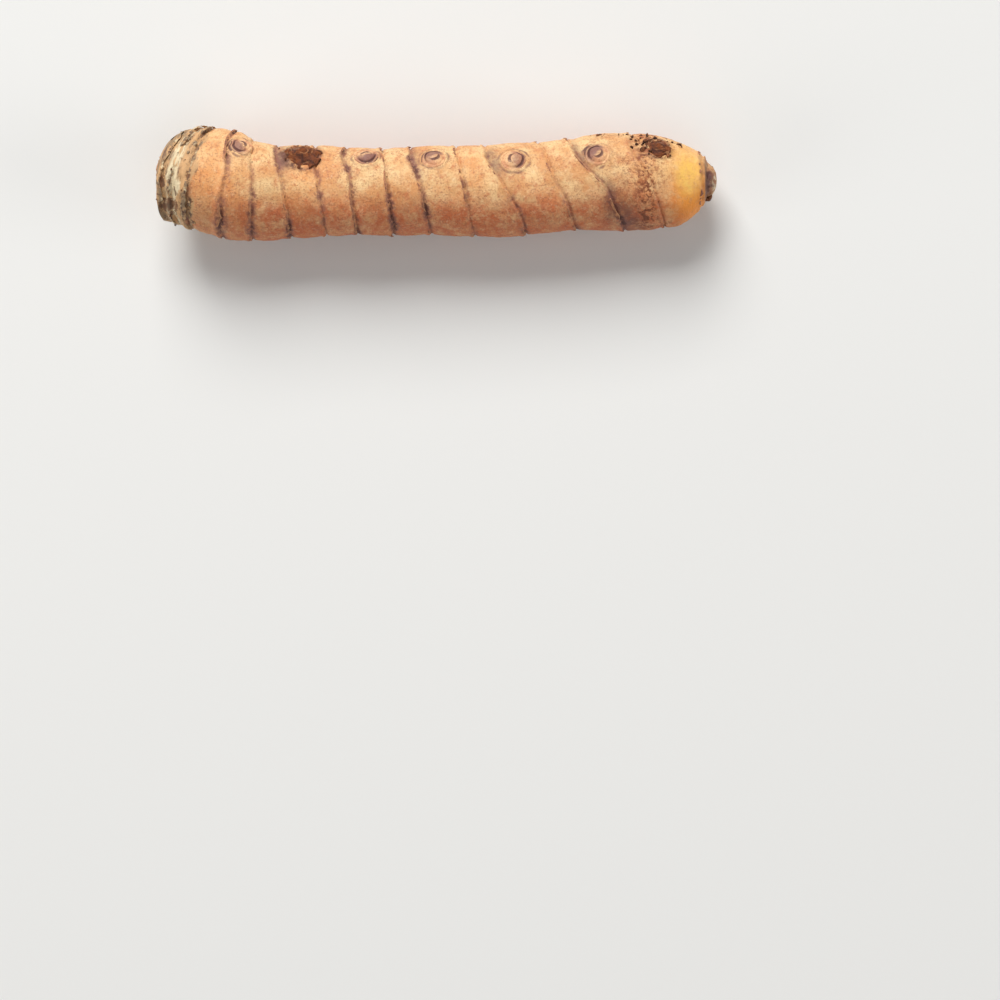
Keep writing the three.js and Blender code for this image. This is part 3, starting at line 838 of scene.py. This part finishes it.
spots = np.concatenate([CAP_CRUMBS, *[clump(*row) for row in CLUMPS], ring_crumbs(RING_CRUMBS)])
tilt, turn = np.meshgrid(np.linspace(0.15, np.pi - 0.15, CRUMB_ROWS),
                         np.linspace(0, 2 * np.pi, CRUMB_COLUMNS, endpoint=False), indexing="ij")
ball = np.stack([np.sin(tilt) * np.cos(turn), np.sin(tilt) * np.sin(turn), np.cos(tilt)], axis=-1)
ball = np.concatenate([ball.reshape(-1, 3), [(0, 0, 1), (0, 0, -1)]])
crumb_x, crumb_angle, crumb_size = np.maximum(spots[:, 0], BASE_X + 0.4), np.radians(spots[:, 1]), spots[:, 2]
cap_radius = np.interp(TIP_X - crumb_x, CAP_PROFILE[1][::-1], CAP_PROFILE[0][::-1])
skin_below = np.where(crumb_x > CAP_X, cap_radius, skin_radius(crumb_x, crumb_angle))
crumb_place = settle(crumb_x, skin_below + 0.15 * crumb_size, crumb_angle)
seeds = 5.3 * np.arange(len(spots))[:, None, None]
rough = 1 + 0.55 * noise(ball + seeds, 0.9, 3) + 0.3 * noise(ball + seeds, 0.4, 4)
stretch = draw.uniform(0.6, 1.3, (len(spots), 1, 3)) * crumb_size[:, None, None]
crumbs = crumb_place[:, None, :] + ball * rough[..., None] * stretch
crumbs[..., 2] = np.maximum(crumbs[..., 2], LOWEST)
soil = smoothed_mesh("soil_crumbs", crumbs.reshape(-1, 3),
                     closed_faces(CRUMB_ROWS, CRUMB_COLUMNS, len(spots)), turned_over=True)

soil_material, tree, shader = new_material("dry_soil", 0.95)
where = millimetres(tree)
colour = blend_colours(tree, between(tree, lumps(tree, where, 0.7, 3), 0.42, 0.6),
                       shade(66, 38, 28), shade(132, 80, 48))
tree.links.new(colour, shader.inputs["Base Color"])
add_bump(tree, shader, lumps(tree, where, 0.12, 3), 0.08, 0.8)
soil.data.materials.append(soil_material)
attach(soil, "root")

# The studio
# A plain pale table top, a large soft light from the +Y side and above, a weak one opposite, and a weak
# one low past each end of the root.
ground = bpy.data.meshes.new("table_top")
ground.from_pydata([(-3, -3, 0), (3, -3, 0), (3, 3, 0), (-3, 3, 0)], [], [(0, 1, 2, 3)])
table = bpy.data.objects.new("table_top", ground)
bpy.context.scene.collection.objects.link(table)
table_material, tree, shader = new_material("pale_table", 0.9)
shader.inputs["Base Color"].default_value = shade(235, 235, 233)
table.data.materials.append(table_material)


def soft_light(name, place, size, power, colour=(1, 1, 1)):
    """A square light of the given size in metres at a place, facing the middle of the root."""
    lamp = bpy.data.lights.new(name, "AREA")
    lamp.shape, lamp.size, lamp.energy, lamp.color = "SQUARE", size, power, colour
    light = bpy.data.objects.new(name, lamp)
    light.location = place
    light.rotation_euler = (Vector((0, 0, 0.008)) - Vector(place)).to_track_quat("-Z", "Y").to_euler()
    bpy.context.scene.collection.objects.link(light)


soft_light("window_light", (-0.3, 1.02, 0.93), 0.85, 22.5, (1, 0.99, 0.975))
soft_light("fill_light", (0.05, -0.6, 1.1), 0.8, 1.9)
soft_light("base_light", (-1.1, -0.4, 0.35), 0.6, 3.2)
soft_light("tip_light", (1.1, -0.15, 0.35), 0.6, 3.8)
world = bpy.data.worlds.new("studio")
world.use_nodes = True
world.node_tree.nodes["Background"].inputs["Color"].default_value = (1, 1, 1, 1)
world.node_tree.nodes["Background"].inputs["Strength"].default_value = 0.14
bpy.context.scene.world = world
bpy.context.scene.view_settings.view_transform = "Standard"

# The photograph looks straight down. Its middle is this far from the root's own, and it spans 165 mm
# of the table at the root's height.
VIEW_MIDDLE = (10.3, -52.2)
VIEW_WIDTH = 165
VIEW_HEIGHT = 700
ROOT_HEIGHT = 8
camera_data = bpy.data.cameras.new("camera")
camera_data.lens = camera_data.sensor_width * (VIEW_HEIGHT - ROOT_HEIGHT) / VIEW_WIDTH
camera = bpy.data.objects.new("camera", camera_data)
camera.location = (VIEW_MIDDLE[0] * MM, VIEW_MIDDLE[1] * MM, VIEW_HEIGHT * MM)
bpy.context.scene.collection.objects.link(camera)
bpy.context.scene.camera = camera
